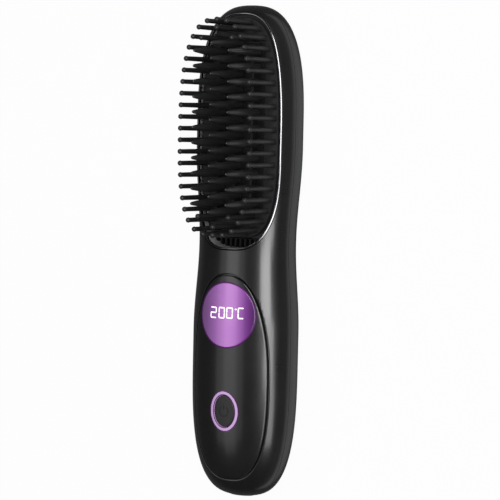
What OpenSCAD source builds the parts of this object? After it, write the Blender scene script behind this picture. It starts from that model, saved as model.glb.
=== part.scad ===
// Cordless hair straightening brush, lying on its back.
// +X runs across it, +Y towards the head, +Z the way the bristles point.

/* [Body] */
// Width of the head at its widest
head_w = 50.2; // [49:0.2:54]
// Width of the waist between the head and the handle
neck_w = 45.8; // [45:0.2:48]
// Width of the handle at its widest
handle_w = 49.9; // [49:0.1:53]
// Thickness of the body as a share of its width
depth_ratio = 0.64; // [0.63:0.005:0.68]
// Wall of the two shells
wall = 2.4; // [2.1:0.1:2.6]
// Depth of the flat that the back rests on
back_flat = 0.4; // [0.2:0.05:0.6]
// Height of the joint between the shells above the middle of the body
parting_lift = 2.5; // [2:0.1:3]

/* [Head pocket] */
// Width of the oval pocket
pocket_w = 43.6; // [42.6:0.2:44]
// Length of the oval pocket
pocket_l = 101; // [100:0.2:102]
// Distance from the top of the body to the pocket
pocket_end_gap = 3; // [2.6:0.2:4]
// Height of the bristle floor above the middle of the body
floor_lift = 7.4; // [7.2:0.1:7.8]
// Thickness of the rim trim
trim_t = 0.9; // [0.7:0.1:1.2]
// Height of the rim trim above the shell
trim_proud = 0.3; // [0.1:0.1:0.6]
// Shelf width around the pocket
shelf_w = 6.3; // [6:0.1:6.5]
// Thickness of the shelf under the pocket
shelf_t = 1.6; // [1.4:0.1:2]

/* [Bristles] */
// Number of bristles in the outer ring
bristle_count = 44; // [36:2:48]
// Distance from the pocket's side to the ring that the bristles stand on
ring_side = 4.3; // [4:0.1:4.7]
// Distance from the pocket's upper end to that ring
ring_top = 4.1; // [3.7:0.1:5]
// Distance from the pocket's lower end to that ring
ring_foot = 6.9; // [6.7:0.1:7.6]
// Height of the bristle tips above the middle of the body
bristle_lift = 27.7; // [25:0.1:30]
// Diameter of a bristle at its tip end
bristle_d = 1.8; // [1.4:0.1:2]
// Diameter of a bristle at its foot
bristle_foot_d = 2.2; // [2:0.1:2.4]
// Diameter of the ball on a bristle's tip
ball_d = 2.2; // [2.1:0.1:2.5]
// Thickness of the bristle floor
carrier_t = 2; // [1.6:0.1:2.2]

/* [Heating comb] */
// Spacing of the teeth along a row
comb_pitch = 6.4; // [6:0.05:6.5]
// Least distance from the end pins beyond the teeth to the bristle ring
comb_end_room = 3.3; // [3.2:0.1:4.5]
// Distance from the middle row to each outer row
row_gap = 8.7; // [8:0.1:9]
// Height of the tooth tips above the middle of the body
comb_lift = 30.8; // [28:0.1:33]
// Depth of the notches between the teeth
tooth_depth = 13.6; // [10:0.1:16]
// Width of a tooth close to its tip
tooth_tip = 1.3; // [1:0.1:1.6]
// Width of a tooth at its foot
tooth_foot = 4.4; // [3.8:0.1:5.2]
// Thickness of a row at its foot
blade_t = 2.8; // [2.4:0.1:3]
// Thickness of a row at its tips
blade_tip_t = 1.4; // [1:0.1:1.8]
// Thickness of a row between two teeth
blade_web_t = 1; // [0.8:0.1:1.6]

/* [Handle cover] */
// Width of the handle cover
cover_w = 38.4; // [36.4:0.2:39]
// Distance from the handle cover to the head pocket
bridge_l = 10; // [9:0.2:10.6]
// Distance from the foot of the handle to the cover
cover_end_gap = 7.8; // [7.6:0.2:9]
// Thickness of the cover
cover_t = 1.3; // [1.1:0.1:1.4]
// Width of the groove around the cover
cover_gap = 0.5; // [0.3:0.1:0.8]
// Width of the ledge that the cover rests on
ledge_w = 3; // [2.4:0.1:3.2]

/* [Display] */
// Diameter of the display window
display_d = 27.3; // [24:0.1:28]
// Distance from the upper end of the cover to the display window
display_gap = 3.75; // [3.6:0.05:4.6]
// Thickness of the display window
window_t = 0.8; // [0.6:0.1:0.9]

/* [Power button] */
// Width of the light ring
light_w = 14.3; // [13.6:0.1:15]
// Length of the light ring
light_l = 17.5; // [16.8:0.1:18]
// Width of the light ring's band
light_band = 1.75; // [1.5:0.05:1.9]
// Distance from the lower end of the cover to the light ring
button_rise = 21.05; // [19.5:0.05:22]
// Gap between the button and the light ring
button_gap = 0.3; // [0.2:0.05:0.4]
// Travel of the button
button_travel = 0.5; // [0.3:0.05:0.6]

/* [Battery and boards] */
// Diameter of a battery cell
cell_d = 18; // [17.6:0.1:18.2]
// Length of a battery cell
cell_l = 65; // [62:0.5:65]
// Distance between the axes of the two cells
cell_pitch = 19.2; // [19:0.1:19.4]
// Thickness of the control board
board_t = 1.6; // [1.2:0.1:1.6]
// Width of the control board
board_w = 25; // [23:0.5:25.5]

/* [Charging socket] */
// Width of the socket's shell
socket_w = 8.94; // [8.6:0.02:9.2]
// Height of the socket's shell
socket_h = 3.26; // [3.1:0.02:3.4]
// Depth of the socket
socket_l = 7.35; // [6.5:0.05:7.6]
// Thickness of the socket's shell
socket_t = 0.3; // [0.25:0.05:0.35]

/* [Screws] */
// Diameter of a screw's shank
screw_d = 1.9; // [1.8:0.1:2]
// Diameter of a screw's head
screw_head_d = 3.8; // [3.6:0.1:4]
// Height of a screw's head
screw_head_h = 1.3; // [1.1:0.1:1.4]

/* [Hidden] */

// Small clearances: between seated pieces, and around a sliding or threaded shank
seat_gap = 0.1;
slip = 0.1;
far = 200;

// Stack along the handle, from its foot to the pocket: socket, charging board, cells in their cradle, ion generator
socket_inset = 0.75;
charge_size = [18, 15, 1];
charge_gap = 4.3;
tab_room = 0.6;
cradle_wall = 1.5;
cradle_end = tab_room + cradle_wall;
ion_size = [18, 14, 8];
ion_gap = 3.4;
ion_reach = 6;
charge_end = socket_inset + socket_l + charge_size[1];
handle_l = charge_end + charge_gap + cell_l + 2 * cradle_end + ion_gap + ion_reach;
body_l = handle_l + pocket_l + pocket_end_gap;
cover_l = handle_l - cover_end_gap - bridge_l;
end_y = body_l / 2;
pocket_low_y = -end_y + handle_l;
pocket_y = pocket_low_y + pocket_l / 2;
cover_low_y = -end_y + cover_end_gap;
cover_y = cover_low_y + cover_l / 2;

// Body outline: where the head, shoulder, waist, hip and handle lie along the brush
head_y = pocket_y + 3.5;
shoulder_y = pocket_y - 6.5;
neck_y = pocket_low_y + 3;
hip_y = cover_y + 19.1;
handle_y = cover_y + 8.1;
// Fullness of the rounded ends: 2 is an ellipse, more is squarer
head_fullness = 2.7;
handle_fullness = 3.1;
// Half width of the flat at the handle's foot, around the charging socket
end_flat = socket_w / 2 + 1.2;
end_steps = 11;
side_steps = 18;
mid_z = head_w / 2 * depth_ratio - back_flat;
parting_z = mid_z + parting_lift;

function ease(t) = (1 - cos(180 * max(0, min(1, t)))) / 2;
function dome(t, fullness) = pow(max(0, 1 - pow(t, fullness)), 1 / fullness);
function half_w(y) =
    y > head_y ? head_w / 2 * dome((y - head_y) / (end_y - head_y), head_fullness)
    : y > neck_y ? (neck_w + (head_w - neck_w) * ease((y - neck_y) / (shoulder_y - neck_y))) / 2
    : y > handle_y ? (neck_w + (handle_w - neck_w) * ease((neck_y - y) / (neck_y - hip_y))) / 2
    : handle_w / 2 * dome((handle_y - y) / (end_y + handle_y), handle_fullness);
function quarter(i) = 1 - cos(90 * i / end_steps);
stations = concat(
    [for (i = [1:end_steps]) -end_y + (handle_y + end_y) * quarter(i)],
    [for (i = [1:side_steps - 1]) handle_y + (head_y - handle_y) * i / side_steps],
    [for (i = [end_steps:-1:1]) end_y - (end_y - head_y) * quarter(i)]);

// Height of the outer surface on the front
function skin_z(x, y) = mid_z + depth_ratio * sqrt(pow(half_w(y), 2) - x * x);

// Ovals with a fuller lower end, drawn around their own centre
pocket_fullness = [2.7, 3.1];
cover_fullness = [2.3, 2.65];
function signed_pow(v, e) = sign(v) * pow(abs(v), e);
function oval_point(half_x, half_y, fullness, t) =
    let (n = sin(t) > 0 ? fullness[0] : fullness[1])
    [half_x * signed_pow(cos(t), 2 / n), half_y * signed_pow(sin(t), 2 / n)];

// Heights in the head, measured from the middle of the body
floor_z = mid_z + floor_lift;
carrier_low_z = floor_z - carrier_t;
carrier_rise = 2;
shelf_z = carrier_low_z - carrier_rise;
shelf_low_z = shelf_z - shelf_t;
tray_t = 3.2;
tray_floor_t = 1.2;
tray_z = shelf_low_z - tray_t;
trim_in = seat_gap + trim_t;
carrier_in = trim_in + 0.2;
skirt_t = 1.6;
// Height where the screw bosses of the two shells meet, and how far the front shell's inner parts clear the rear wall
boss_z = shelf_low_z - 5.8;
shell_fit = 0.3;

// The bristle ring: equal steps along its own outline, from the top round to the top again
ring_w = pocket_w - 2 * ring_side;
ring_l = pocket_l - ring_top - ring_foot;
ring_y = pocket_low_y + ring_foot + ring_l / 2;
ring_fullness = [2.62, 3.15];
path_steps = 240;
ring_path = [for (k = [0:path_steps])
    oval_point(ring_w / 2, ring_l / 2, ring_fullness, 90 + 360 * k / path_steps)];
ring_run = [for (k = 0, s = 0; k <= path_steps;
    s = s + (k < path_steps ? norm(ring_path[k + 1] - ring_path[k]) : 0), k = k + 1) s];
function ring_at(s) = [
    lookup(s, [for (k = [0:path_steps]) [ring_run[k], ring_path[k][0]]]),
    ring_y + lookup(s, [for (k = [0:path_steps]) [ring_run[k], ring_path[k][1]]])];
ring_points = [for (i = [0:bristle_count - 1]) ring_at(i * ring_run[path_steps] / bristle_count)];
// Two bristles beyond the ends of each outer row of teeth and one beyond the middle row
comb_y = ring_y;
comb_teeth = floor((ring_l - 2 * comb_end_room) / comb_pitch) - 2;
side_reach = comb_pitch * (comb_teeth + 1) / 2 - 1;
middle_reach = comb_pitch * (comb_teeth + 2) / 2;
end_pin_x = row_gap - 1;
end_pins = [for (end = [-1, 1]) each [
    [-end_pin_x, comb_y + end * side_reach], [end_pin_x, comb_y + end * side_reach],
    [0, comb_y + end * middle_reach]]];

// The comb's plate: a wide field for the outer rows and a narrow tongue for the middle one
comb_field = [row_gap * 2 + blade_t + 3.6, comb_pitch * comb_teeth + 0.6];
comb_tongue = [5.8, comb_pitch * (comb_teeth + 1) + 1.4];
comb_fit = 0.3;
comb_flange = 1.8;
comb_flange_z = carrier_low_z - seat_gap;
comb_top_z = floor_z + 0.2;
tip_z = mid_z + comb_lift;
valley_z = tip_z - tooth_depth;

// Heater parts, stacked under the comb's plate
heater_size = [12, comb_field[1] - 10, 1.4];
spring_t = 0.4;
spring_w = 10;
spring_waves = 8;
spring_l = heater_size[1] - 4;
mica_size = [comb_field[0] + 1.6, comb_field[1] - 5.5, 0.5];
tray_recess = [mica_size[0] + 2.2, mica_size[1] + 2.1];
sensor_x = heater_size[0] / 2 + 3.5;
heater_z = shelf_z - heater_size[2];
mica_z = tray_z + tray_floor_t;
tray_in = 2;
tray_end = 6.5;
lead_slot = [3, 6.2];
lead_x = 4;

// Ion outlet at the lower end of the pocket
grille_w = 23.2;
grille_front = 5.2;
slot_count = 9;
slot_pitch = 2.45;
slot_w = 1.3;
slot_l = 2.7;
ion_z = tray_z - 0.4 - ion_size[2];
ion_y = pocket_low_y - ion_reach + ion_size[1] / 2;
needle_r = 0.5;
needle_x = 2 * slot_pitch;
needle_y = pocket_low_y + 3.3;

// Power button: a stack from the skin down to the board
button_y = cover_low_y + button_rise + light_l / 2;
light_flange = 0.8;
light_flange_t = 0.6;
light_low_z = skin_z(light_w / 2 + light_flange, button_y) - cover_t - light_flange_t - 0.2;
switch_size = 6;
switch_h = 2;
plunger_d = 3.2;
plunger_reach = 0.8;
plunger_top_z = light_low_z + 0.4;
button_flange = 0.5;
button_flange_t = 0.7;
button_flange_z = light_low_z - 0.3 - button_flange_t;
button_w = light_w - 2 * light_band - 2 * button_gap;
button_l = light_l - 2 * light_band - 2 * button_gap;
led_size = [1.6, 0.8, 0.6];
board_top_z = plunger_top_z - plunger_reach - switch_h;

// Board, cradle and cells under the button
cradle_top_z = board_top_z - board_t;
cradle_gap = 0.15;
cradle_t = 0.8;
cell_z = cradle_top_z - cradle_t - cradle_gap - 0.1 - cell_d / 2;
cell_low_y = -end_y + charge_end + charge_gap + cradle_end;
cell_y = cell_low_y + cell_l / 2;
cradle_web = 9;
cradle_low_z = cell_z - cell_d / 2 + 0.3;
tab_t = 0.25;
tab_h = 6;
board_l = cell_l + 4;
board_y = cell_y - 1.5;
lead_notch = 2.4;

// Display window, with its module reaching up to it from the board
display_y = cover_low_y + cover_l - display_gap - display_d / 2;
display_size = [20.5, 11.5];
display_top_z = skin_z(display_size[0] / 2, display_y) - window_t - 0.3;
window_ledge = 1;

// Charging board, on posts of the rear shell, with the socket on its front edge
socket_front_y = -end_y + socket_inset;
charge_y = -end_y + charge_end - charge_size[1] / 2;
charge_top_z = mid_z - socket_h / 2 - 0.1;
charge_z = charge_top_z - charge_size[2];
charge_tongue = [9.2, 4.2];
tongue_size = [6.7, 5.6, 0.7];

// Screw places
boss_r = 2.7;
post_r = 2.2;
thread_l = 5;
board_screw_l = 3.6;
head_screws = [for (x = [-1, 1]) [x * (pocket_w / 2 - 3.7), pocket_y - 5]];
handle_screw_x = cover_w / 2 - 5.5;
handle_screw_y = cell_low_y - 8.5;
handle_screws = [for (x = [-1, 1]) [x * handle_screw_x, handle_screw_y]];
handle_head_z = skin_z(handle_screw_x, handle_screw_y) - 5.1;
carrier_post_in = 28;
carrier_posts = [for (x = [-1, 1]) for (y = [pocket_low_y + carrier_post_in, pocket_low_y + pocket_l - carrier_post_in])
    [x * (pocket_w / 2 - 4.1), y]];
control_posts = [[0, cell_y + cell_l / 2 - 3], [0, cell_y - 6.7]];
charge_posts = [for (x = [-1, 1]) [x * 6.4, charge_y + 1.5]];

// Wires: the heater's from the board round the cells and up through the tray, the cells' to the charging board
wire_d = 1.3;
wire_sides = 8;
wire_steps = 4;
cell_end_y = cell_y + cell_l / 2 + cradle_end;
board_end_y = board_y + board_l / 2;
heater_end_y = comb_y - heater_size[1] / 2;
heater_wire = [[7, board_end_y - 3.5, board_top_z + 0.72], [7.3, board_end_y + 0.2, board_top_z + 0.8],
    [8.4, cell_end_y + 1.2, board_top_z - 0.9], [10.4, cell_end_y + 1.7, board_top_z - 4.5],
    [12, cell_end_y + 2, cell_z + 2.7], [12.6, cell_end_y + 4.4, cell_z - 1.7],
    [12.4, cell_end_y + 11.4, cell_z - 3.5], [11, cell_end_y + 17.4, cell_z - 3.7],
    [7, heater_end_y - 7.9, tray_z - 3.1], [lead_x, heater_end_y - 5.3, tray_z - 0.7],
    [lead_x, heater_end_y - 3.7, tray_z + 2.3], [lead_x, heater_end_y - 1.9, heater_z + 0.44],
    [lead_x, heater_end_y, heater_z + 0.54]];
cell_wire_x = 3.3;
link_wire_x = 1.7;
cell_wire = [[cell_wire_x, cell_low_y - 0.9, cell_z + 0.1], [cell_wire_x, cell_low_y - 3.1, cell_z + 0.9],
    [cell_wire_x, cell_low_y - 6, charge_top_z + 1.8], [cell_wire_x, cell_low_y - 9, charge_top_z + 1.2],
    [cell_wire_x, cell_low_y - 11, charge_top_z + 0.7]];
link_wire = [[link_wire_x, cell_low_y - 10.5, charge_top_z + 0.7], [link_wire_x, cell_low_y - 8, charge_top_z + 1.6],
    [link_wire_x, cell_low_y - 5.8, charge_top_z + 4.2], [link_wire_x, cell_low_y - 4.9, board_top_z - 5],
    [link_wire_x, cell_low_y - 4.8, board_top_z - 1], [link_wire_x, cell_low_y - 3.1, board_top_z + 1.25],
    [link_wire_x, cell_low_y - 0.5, board_top_z + 0.7]];

// The body drawn inwards by an inset, with the wall kept the same all round at the head
module body_solid(inset) {
    reach = end_y - inset;
    skin_ratio = (head_w / 2 * depth_ratio - inset) / (head_w / 2 - inset);
    foot_flat = max(1, end_flat - inset);
    profile = concat([[0, -reach], [foot_flat, -reach]], [for (y = stations) [half_w(y) - inset, y * reach / end_y]],
        [[0, reach]]);
    translate([0, 0, mid_z]) scale([1, 1, skin_ratio]) rotate([-90, 0, 0])
        rotate_extrude($fn = 96) polygon(profile);
}

// A layer of the body between two depths under its surface
module skin(outer, inner) difference() {
    body_solid(outer);
    body_solid(inner);
}

module oval(half_x, half_y, fullness, y) {
    translate([0, y]) polygon([for (k = [0:71]) oval_point(half_x, half_y, fullness, 5 * k)]);
}

module prism(z0, z1) translate([0, 0, z0]) linear_extrude(z1 - z0) children();
module pocket_oval(inset) oval(pocket_w / 2 - inset, pocket_l / 2 - inset, pocket_fullness, pocket_y);
module cover_oval(inset) oval(cover_w / 2 - inset, cover_l / 2 - inset, cover_fullness, cover_y);
module button_oval(w, l) oval(w / 2, l / 2, [2, 2], button_y);
module field(size, y) translate([0, y]) square(size, center = true);
module block(size, y, z) translate([-size[0] / 2, y - size[1] / 2, z]) cube(size);
module at(places) for (p = places) translate([p[0], p[1], 0]) children();
module post(r, z0, z1) translate([0, 0, z0]) cylinder(r = r, h = z1 - z0, $fn = 32);
module above(z) translate([-far / 2, -far, z]) cube([far, 2 * far, far]);
module below(z) translate([-far / 2, -far, z - far]) cube([far, 2 * far, far]);
module stadium(w, h) {
    square([w - h, h], center = true);
    for (x = [-1, 1]) translate([x * (w - h) / 2, 0]) circle(r = h / 2, $fn = 32);
}

// A tunnel along the brush with the socket's outline, grown by a clearance
module socket_tunnel(grow, y0, y1) {
    translate([0, y1, mid_z]) rotate([90, 0, 0]) linear_extrude(y1 - y0)
        stadium(socket_w + 2 * grow, socket_h + 2 * grow);
}

module cells(grow) {
    for (x = [-1, 1]) translate([x * cell_pitch / 2, cell_y - cell_l / 2, cell_z]) rotate([-90, 0, 0])
        cylinder(r = cell_d / 2 + grow, h = cell_l, $fn = 48);
}

module screw(length) {
    post(screw_d / 2, -length, 0);
    difference() {
        post(screw_head_d / 2, 0, screw_head_h);
        for (a = [0, 90]) rotate(a) translate([-1.1, -0.25, screw_head_h - 0.6]) cube([2.2, 0.5, 1]);
    }
}

// A smooth curve through a route's points, swept into a wire
function curve(p, i, t) = let (a = p[max(i - 1, 0)], b = p[i], c = p[i + 1], d = p[min(i + 2, len(p) - 1)])
    (2 * b + (c - a) * t + (2 * a - 5 * b + 4 * c - d) * t * t + (3 * b - a - 3 * c + d) * t * t * t) / 2;
function unit(v) = v / norm(v);
module wire(route) {
    line = concat([for (i = [0:len(route) - 2]) for (s = [0:wire_steps - 1]) curve(route, i, s / wire_steps)],
        [route[len(route) - 1]]);
    n = len(line);
    rings = [for (i = [0:n - 1])
        let (along = unit(line[min(i + 1, n - 1)] - line[max(i - 1, 0)]),
            side = unit([1, 0, 0] - along * along[0]), up = cross(along, side))
        for (k = [0:wire_sides - 1]) line[i]
            + (side * cos(360 * k / wire_sides) + up * sin(360 * k / wire_sides)) * wire_d / 2];
    function id(i, k) = i * wire_sides + k % wire_sides;
    polyhedron(rings, concat(
        [for (i = [0:n - 2]) for (k = [0:wire_sides - 1]) each [
            [id(i, k), id(i + 1, k), id(i + 1, k + 1)], [id(i, k), id(i + 1, k + 1), id(i, k + 1)]]],
        [[for (k = [0:wire_sides - 1]) id(0, k)], [for (k = [wire_sides - 1:-1:0]) id(n - 1, k)]]));
}
module pair_of_wires(route) for (s = [1, -1]) wire([for (p = route) [s * p[0], p[1], p[2]]]);

// Rear half of the housing: ribs for the cells and the ion generator, bosses and posts, and the socket's opening
module rear_shell() color("#17171a") difference() {
    body_solid(0);
    difference() {
        body_solid(wall);
        for (y = [-0.42, 0, 0.42]) block([34, 2, 9], cell_y + y * cell_l, 0);
        for (y = [-1, 1]) block([ion_size[0] + 4, 1.6, ion_z], ion_y + y * 4, 0);
        at(concat(head_screws, handle_screws)) post(boss_r, 0, boss_z);
        at(charge_posts) post(post_r, 0, charge_z);
    }
    cells(seat_gap);
    block([cradle_web + 2 * seat_gap, cell_l, 10], cell_y, cradle_low_z - seat_gap);
    above(parting_z);
    below(0);
    socket_tunnel(0.3, -end_y - 1, socket_front_y + socket_l / 2);
    at(concat(head_screws, handle_screws)) post(screw_d / 2 + 0.05, boss_z - thread_l - 0.3, boss_z + 1);
    at(charge_posts) post(screw_d / 2 + 0.05, charge_z - board_screw_l, charge_z + 1);
}

// Front half of the housing: shelf round the head pocket, recess and ledge for the handle cover
module front_shell() color("#1b1b1e") difference() {
    body_solid(0);
    difference() {
        body_solid(wall);
        translate([-far / 2, pocket_low_y - 4, shelf_low_z]) cube([far, far, shelf_t]);
        at(concat(head_screws, handle_screws)) post(boss_r, boss_z, mid_z + 20);
    }
    difference() {
        below(parting_z);
        body_solid(wall + shell_fit);
    }
    prism(shelf_z, shelf_z + 30) pocket_oval(0);
    prism(shelf_low_z - 1, shelf_z + 1) pocket_oval(shelf_w);
    block([grille_w - 2, grille_front, 2 * shelf_t + 1], pocket_low_y + grille_front / 2 + 1, shelf_low_z - 1);
    difference() {
        prism(mid_z, mid_z + 30) cover_oval(0);
        body_solid(cover_t + seat_gap);
    }
    prism(mid_z, mid_z + 30) cover_oval(cover_gap + ledge_w);
    at(head_screws) {
        post(screw_d / 2 + slip, boss_z - 1, shelf_z + 1);
        post(screw_head_d / 2 + slip, shelf_z - screw_head_h, shelf_z + 1);
    }
    at(handle_screws) {
        post(screw_d / 2 + slip, boss_z - 1, handle_head_z + 1);
        post(screw_head_d / 2 + slip, handle_head_z, handle_head_z + 20);
    }
    at(carrier_posts) post(screw_d / 2 + slip, shelf_low_z - 1, shelf_z + 1);
}

// Glossy oval panel on the handle, with a stepped hole for the window and one for the light ring
module handle_cover() color("#202023") difference() {
    intersection() {
        skin(0, cover_t);
        prism(mid_z, mid_z + 30) cover_oval(cover_gap);
    }
    translate([0, display_y, 0]) post(display_d / 2 - window_ledge, mid_z, mid_z + 30);
    difference() {
        translate([0, display_y, 0]) post(display_d / 2 + seat_gap, mid_z, mid_z + 30);
        body_solid(window_t + seat_gap);
    }
    prism(mid_z, mid_z + 30) button_oval(light_w + 2 * seat_gap, light_l + 2 * seat_gap);
}

// Thin polished rim that lines the pocket and stands a little proud of the shell
module head_rim_trim() color("#b8b8bc") intersection() {
    prism(shelf_z, mid_z + 30) difference() {
        pocket_oval(seat_gap);
        pocket_oval(trim_in);
    }
    body_solid(-trim_proud);
}

module comb_window(grow, z0, z1) {
    prism(z0, z1) {
        field(comb_field + [grow, grow], comb_y);
        field(comb_tongue + [grow, grow], comb_y);
    }
}

module bristle() {
    translate([0, 0, floor_z - 0.5])
        cylinder(r1 = bristle_foot_d / 2, r2 = bristle_d / 2, h = bristle_lift - floor_lift - ball_d / 2 + 0.5, $fn = 24);
    translate([0, 0, mid_z + bristle_lift - ball_d / 2]) sphere(r = ball_d / 2, $fn = 24);
}

// Nylon floor of the pocket with its ball-tipped bristles and the posts it is screwed down by
module bristle_carrier() color("#101012") {
    difference() {
        union() {
            prism(carrier_low_z, floor_z) pocket_oval(carrier_in);
            prism(shelf_z, carrier_low_z) difference() {
                pocket_oval(carrier_in);
                pocket_oval(carrier_in + skirt_t);
            }
            intersection() {
                at(carrier_posts) post(2.3, shelf_z, carrier_low_z);
                prism(shelf_z, carrier_low_z) pocket_oval(carrier_in);
            }
        }
        comb_window(2 * comb_fit, shelf_z, floor_z + 1);
        block([grille_w, grille_front + 2, 10], pocket_low_y + grille_front / 2 - 1, shelf_z - 1);
        at(carrier_posts) post(screw_d / 2 + 0.05, shelf_z - 1, carrier_low_z + 1);
    }
    at(concat(ring_points, end_pins)) bristle();
}

// Slotted outlet in the foot of the pocket
module ion_grille() color("#1c1c1f") difference() {
    prism(shelf_z, floor_z) intersection() {
        pocket_oval(carrier_in);
        field([grille_w - 0.4, grille_front - 0.4], pocket_low_y + grille_front / 2);
    }
    for (i = [0:slot_count - 1])
        translate([(i - (slot_count - 1) / 2) * slot_pitch - slot_w / 2, pocket_low_y + 1.7, shelf_z - 1])
            cube([slot_w, slot_l, 10]);
    block([grille_w - 3, grille_front, carrier_low_z - shelf_z], pocket_low_y + grille_front / 2 + 2.6, shelf_z - 0.01);
}

// One row of leaf-shaped teeth on a common ridge: each is lens-shaped in plan and thinner towards its tip
tooth_steps = [0.03, 0.14, 0.32, 0.55, 0.78, 1];
lens_steps = [-1, -0.6, -0.22, 0.22, 0.6, 1];
function tooth_half(s) = (tooth_tip + (tooth_foot - tooth_tip) * sin(90 * (s - tooth_steps[0]) / (1 - tooth_steps[0]))) / 2;
module comb_row(x, teeth) {
    start = comb_y - teeth * comb_pitch / 2;
    end = start + teeth * comb_pitch;
    half = [for (s = tooth_steps) [tooth_half(s), tip_z - s * tooth_depth]];
    outline = concat([[start, floor_z], [start, valley_z]],
        [for (i = [0:teeth - 1]) let (c = start + (i + 0.5) * comb_pitch) each concat(
            [for (k = [len(half) - 1:-1:0]) [c - half[k][0], half[k][1]]],
            [[c, tip_z]], [for (h = half) [c + h[0], h[1]]])],
        [[end, valley_z], [end, floor_z]]);
    flank = concat([[blade_web_t / 2, start]],
        [for (i = [0:teeth - 1]) for (a = lens_steps) [blade_web_t / 2 + (blade_t - blade_web_t) / 2 * (1 - a * a),
            start + (i + 0.5) * comb_pitch + a * tooth_foot / 2]],
        [[blade_web_t / 2, end]]);
    lenses = concat(flank, [for (i = [len(flank) - 1:-1:0]) [-flank[i][0], flank[i][1]]]);
    translate([x, 0, 0]) intersection() {
        rotate([90, 0, 90]) linear_extrude(blade_t, center = true) polygon(outline);
        prism(floor_z, tip_z) polygon(lenses);
        translate([0, far, 0]) rotate([90, 0, 0]) linear_extrude(2 * far) polygon([[-blade_t / 2, floor_z],
            [blade_t / 2, floor_z], [blade_t / 2, valley_z], [blade_tip_t / 2, tip_z], [-blade_tip_t / 2, tip_z],
            [-blade_t / 2, valley_z]]);
    }
}

// Heated casting: a flanged plate with three rows of teeth, the middle row half a pitch out of step
module heating_comb() color("#141416") {
    comb_window(0, comb_flange_z, comb_top_z);
    prism(shelf_z, comb_flange_z) {
        field(comb_field + [comb_flange, comb_flange] * 2 - [2, 3], comb_y);
        field(comb_tongue, comb_y);
    }
    for (x = [-row_gap, row_gap]) comb_row(x, comb_teeth);
    comb_row(0, comb_teeth + 1);
}

module ceramic_heater() color("#e8e4da") block(heater_size, comb_y, heater_z);

// Wave spring that presses the heater against the comb
module heater_spring() color("#b0b3b8") {
    low = mica_z + mica_size[2];
    step = spring_l / spring_waves;
    rise = heater_z - low - spring_t;
    top = [for (i = [0:2 * spring_waves]) [i * step / 2, i % 2 * rise]];
    rail = concat([for (p = top) [p[0], p[1]]], [for (i = [len(top) - 1:-1:0]) [top[i][0], top[i][1] + spring_t]]);
    translate([0, comb_y - spring_l / 2, low]) rotate([90, 0, 90]) linear_extrude(spring_w, center = true) polygon(rail);
}

module mica_sheet() color("#cbb98a") block(mica_size, comb_y, mica_z);

// Heat-proof tray under the shelf that carries the heater stack
module heater_tray() color("#3a3a3e") difference() {
    prism(tray_z, shelf_low_z) pocket_oval(tray_in);
    block([tray_recess[0], tray_recess[1], 5], comb_y, mica_z);
    for (x = [-1, 1]) translate([x * lead_x, 0, 0])
        block([lead_slot[0], lead_slot[1], 5], comb_y - tray_recess[1] / 2 - lead_slot[1] / 2 + 1.2, tray_z - 1);
    translate([-far / 2, pocket_low_y - 1, tray_z - 1]) cube([far, tray_end + 1, 6]);
    at(head_screws) post(boss_r + 0.4, tray_z - 1, shelf_z);
    at(carrier_posts) post(screw_d / 2 + slip, tray_z - 1, shelf_z);
}

module sensor(r, l, y, x) translate([x, y - l / 2, mica_z + mica_size[2] + r]) rotate([-90, 0, 0])
    cylinder(r = r, h = l, $fn = 24);
module thermistor() color("#d9b36c") sensor(1.1, 5, comb_y + 8, -sensor_x);
module thermal_fuse() color("#c9ccd1") sensor(1.45, 11, comb_y - 8, sensor_x);

module ion_generator() color("#26262a") block(ion_size, ion_y, ion_z);

// Two emitter needles standing on the generator, under the grille
module ion_needles() color("#d0d2d6") {
    at([[-needle_x, needle_y], [needle_x, needle_y]]) {
        post(needle_r, ion_z + ion_size[2], shelf_z);
        translate([0, 0, shelf_z]) cylinder(r1 = needle_r, r2 = 0.1, h = 1.2, $fn = 24);
    }
}

module display_window() color("#a45fc4") intersection() {
    skin(0, window_t);
    translate([0, display_y, 0]) post(display_d / 2, mid_z, mid_z + 30);
}

module display_module() color("#e9e9ee") block([display_size[0], display_size[1], display_top_z - board_top_z],
    display_y, board_top_z);

// Button cap with a retaining flange, hollow over the switch
module power_button() color("#303033") difference() {
    union() {
        intersection() {
            prism(button_flange_z, mid_z + 30) button_oval(button_w, button_l);
            body_solid(0.15);
        }
        prism(button_flange_z, button_flange_z + button_flange_t)
            button_oval(button_w + 2 * button_gap + 2 * button_flange, button_l + 2 * button_gap + 2 * button_flange);
    }
    block([switch_size + 0.8, switch_size + 0.8, plunger_top_z - button_flange_z + 1], button_y, button_flange_z - 1);
}

module button_light_ring() color("#d5a8e0") difference() {
    union() {
        intersection() {
            prism(light_low_z, mid_z + 30) button_oval(light_w, light_l);
            body_solid(0);
        }
        prism(light_low_z, light_low_z + light_flange_t)
            button_oval(light_w + 2 * light_flange, light_l + 2 * light_flange);
    }
    prism(light_low_z - 1, mid_z + 31) button_oval(light_w - 2 * light_band, light_l - 2 * light_band);
}

module tact_switch() color("#8d9096") difference() {
    block([switch_size, switch_size, switch_h], button_y, board_top_z);
    translate([0, button_y, 0]) post(plunger_d / 2 + slip, board_top_z + 0.05, board_top_z + switch_h + 1);
}

module switch_plunger() color("#1a1a1a") translate([0, button_y, 0])
    post(plunger_d / 2, board_top_z + 0.2 + button_travel, plunger_top_z);

module ring_leds() color("#f4f0ff") {
    for (x = [-1, 1]) translate([x * light_w * 0.52, 0, 0])
        block([led_size[1], led_size[0], led_size[2]], button_y, board_top_z);
    for (y = [-1, 1]) block(led_size, button_y + y * light_l * 0.49, board_top_z);
}

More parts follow.
